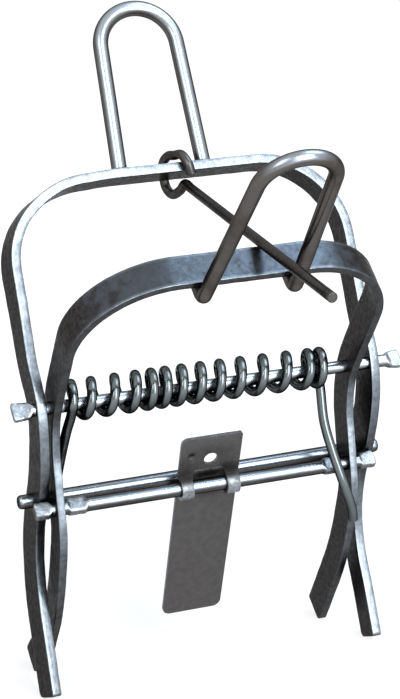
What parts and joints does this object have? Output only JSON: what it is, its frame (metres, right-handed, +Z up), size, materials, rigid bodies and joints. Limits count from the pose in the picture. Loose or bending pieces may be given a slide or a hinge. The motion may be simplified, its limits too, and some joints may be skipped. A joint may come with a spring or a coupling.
{
  "type": "mole trap",
  "caption": "Scissor mole trap with crossed strip-steel frames, a coil torsion spring, squeeze handle loops, a hanging trigger plate and a safety hook.",
  "frame": {"origin": "middle of the standing trap's box, on the ground that its four leg tips stand on", "axes": "+X along the hinge axle to the right as seen from the front handle, +Y to the rear, away from the front handle, +Z up"},
  "size_m": [0.1424, 0.1618, 0.2348],
  "materials": {
    "frame_steel": "bright rolled spring steel, lightly oiled, mottled grey on its wide faces",
    "rod_steel": "bright drawn rod, glossy",
    "spring_steel": "bright spring wire, glossy",
    "wire_steel": "dark drawn wire, satin",
    "plate_steel": "dull cold-rolled sheet, faintly mottled",
    "weld_steel": "small bead of weld metal"
  },
  "bodies": {
    "rear_jaw": {"rear_frame": "frame_steel", "rear_handle": "rod_steel", "rear_handle_welds": "weld_steel", "rear_crossbar": "rod_steel", "hinge_axle": "rod_steel", "torsion_spring": "spring_steel"},
    "front_jaw": {"front_frame": "frame_steel", "front_handle": "rod_steel", "front_handle_welds": "weld_steel", "front_crossbar": "rod_steel"},
    "trigger": {"trigger_plate": "plate_steel"},
    "hook": {"set_hook": "wire_steel"}
  },
  "joints": [
    {"name": "jaw_hinge", "type": "hinge", "parent": "rear_jaw", "child": "front_jaw", "pos_m": [-0.0009, 0.01739, 0.1081], "axis": [-1, 0, 0], "range_deg": [0, 40], "stiffness_Nm_per_rad": 1.5, "springref_deg": -45.84, "deforming": ["torsion_spring"]},
    {"name": "trigger_swing", "type": "hinge", "parent": "front_jaw", "child": "trigger", "pos_m": [-0.0009, 0.01873, 0.07152], "axis": [1, 0, 0], "range_deg": [-35, 28]},
    {"name": "hook_swing", "type": "hinge", "parent": "rear_jaw", "child": "hook", "pos_m": [-0.0009, 0.0524, 0.17714], "axis": [-1, 0, 0], "range_deg": [0, 18.9]}
  ],
  "couplings": [
    {"joint": "hook_swing", "follows": "jaw_hinge", "ratio": 0.47}
  ]
}
